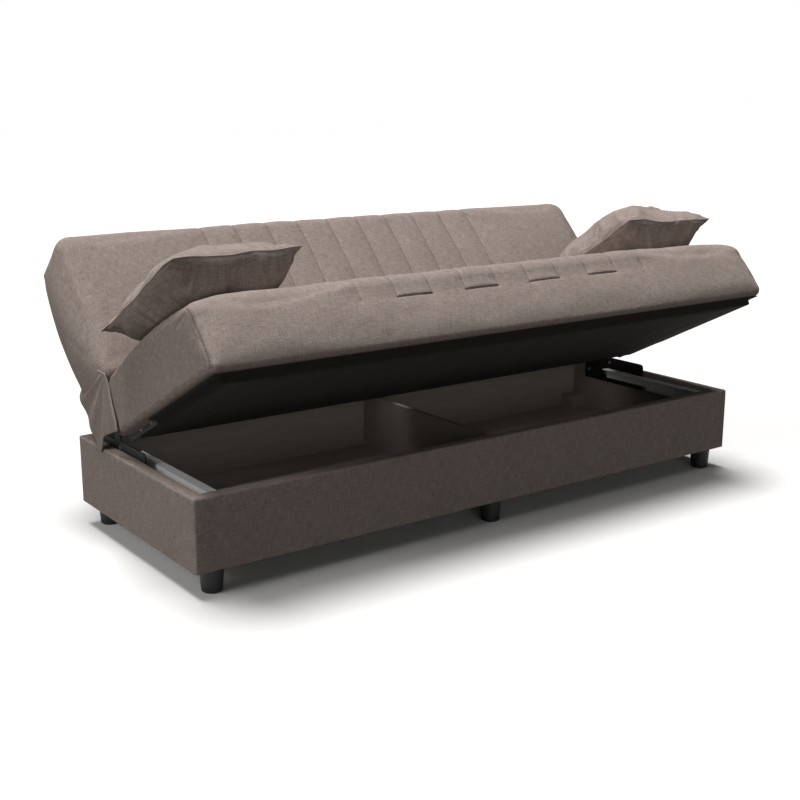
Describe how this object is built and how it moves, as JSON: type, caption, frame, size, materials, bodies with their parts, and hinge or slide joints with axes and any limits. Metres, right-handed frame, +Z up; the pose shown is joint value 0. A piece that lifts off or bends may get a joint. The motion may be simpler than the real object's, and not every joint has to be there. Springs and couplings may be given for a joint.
{
  "type": "storage sofa bed",
  "caption": "Armless click-clack sofa bed with a lift-up channelled seat over a divided storage box, a reclining backrest, loose throw pillows and tapered feet.",
  "frame": {"origin": "on the floor under the middle of the whole sofa, as pictured with its seat raised", "axes": "+X along the sofa to its right, front facing -Y, +Z up"},
  "size_m": [1.918, 1.0468, 0.8391],
  "materials": {
    "taupe_cloth": "matte",
    "black_lining": "matte",
    "timber": "matte",
    "dark_board": "satin",
    "galvanised_steel": "satin",
    "black_steel": "satin",
    "bright_steel": "satin",
    "black_plastic": "matte"
  },
  "bodies": {
    "base": {"base_cover": "taupe_cloth", "block_front_left": "timber", "block_front_right": "timber", "block_rear_left": "timber", "block_rear_right": "timber", "bracket_rivets": "bright_steel", "bracket_screws": "bright_steel", "centre_divider": "dark_board", "foot_bolts": "bright_steel", "foot_front_centre": "black_plastic", "foot_front_left": "black_plastic", "foot_front_right": "black_plastic", "foot_rear_centre": "black_plastic", "foot_rear_left": "black_plastic", "foot_rear_right": "black_plastic", "front_panel": "dark_board", "hinge_bracket_left": "black_steel", "hinge_bracket_right": "black_steel", "hinge_pin_left": "bright_steel", "hinge_pin_right": "bright_steel", "ledger_left": "timber", "ledger_right": "timber", "left_panel": "dark_board", "rail_left": "galvanised_steel", "rail_right": "galvanised_steel", "rear_panel": "dark_board", "right_panel": "dark_board", "storage_floor": "dark_board"},
    "seat": {"seat_arm_left": "black_steel", "seat_arm_right": "black_steel", "seat_arm_screws": "bright_steel", "seat_cushion": "taupe_cloth", "seat_deck": "timber", "seat_front_rail": "timber", "seat_left_rail": "timber", "seat_lining": "black_lining", "seat_rear_rail": "timber", "seat_right_rail": "timber"},
    "backrest": {"back_arm_left": "black_steel", "back_arm_right": "black_steel", "back_arm_screws": "bright_steel", "back_bottom_rail": "timber", "back_cover": "taupe_cloth", "back_cushion": "taupe_cloth", "back_deck": "timber", "back_left_rail": "timber", "back_lining": "black_lining", "back_right_rail": "timber", "back_top_rail": "timber", "flap_left": "taupe_cloth", "flap_right": "taupe_cloth"},
    "pillow_left": {"pillow_left": "taupe_cloth"},
    "pillow_right": {"pillow_right": "taupe_cloth"}
  },
  "joints": [
    {"name": "seat_lift", "type": "hinge", "parent": "base", "child": "seat", "pos_m": [0, 0.09295, 0.414], "axis": [-1, 0, 0], "range_deg": [-26.5, 0]},
    {"name": "backrest_recline", "type": "hinge", "parent": "base", "child": "backrest", "pos_m": [0, 0.09295, 0.414], "axis": [-1, 0, 0], "range_deg": [-26.5, 48.5]},
    {"name": "pillow_left_lift", "type": "slide", "parent": "seat", "child": "pillow_left", "axis": [0, 0, 1], "range_m": [0, 0.4]},
    {"name": "pillow_right_lift", "type": "slide", "parent": "seat", "child": "pillow_right", "axis": [0, 0, 1], "range_m": [0, 0.4]}
  ]
}
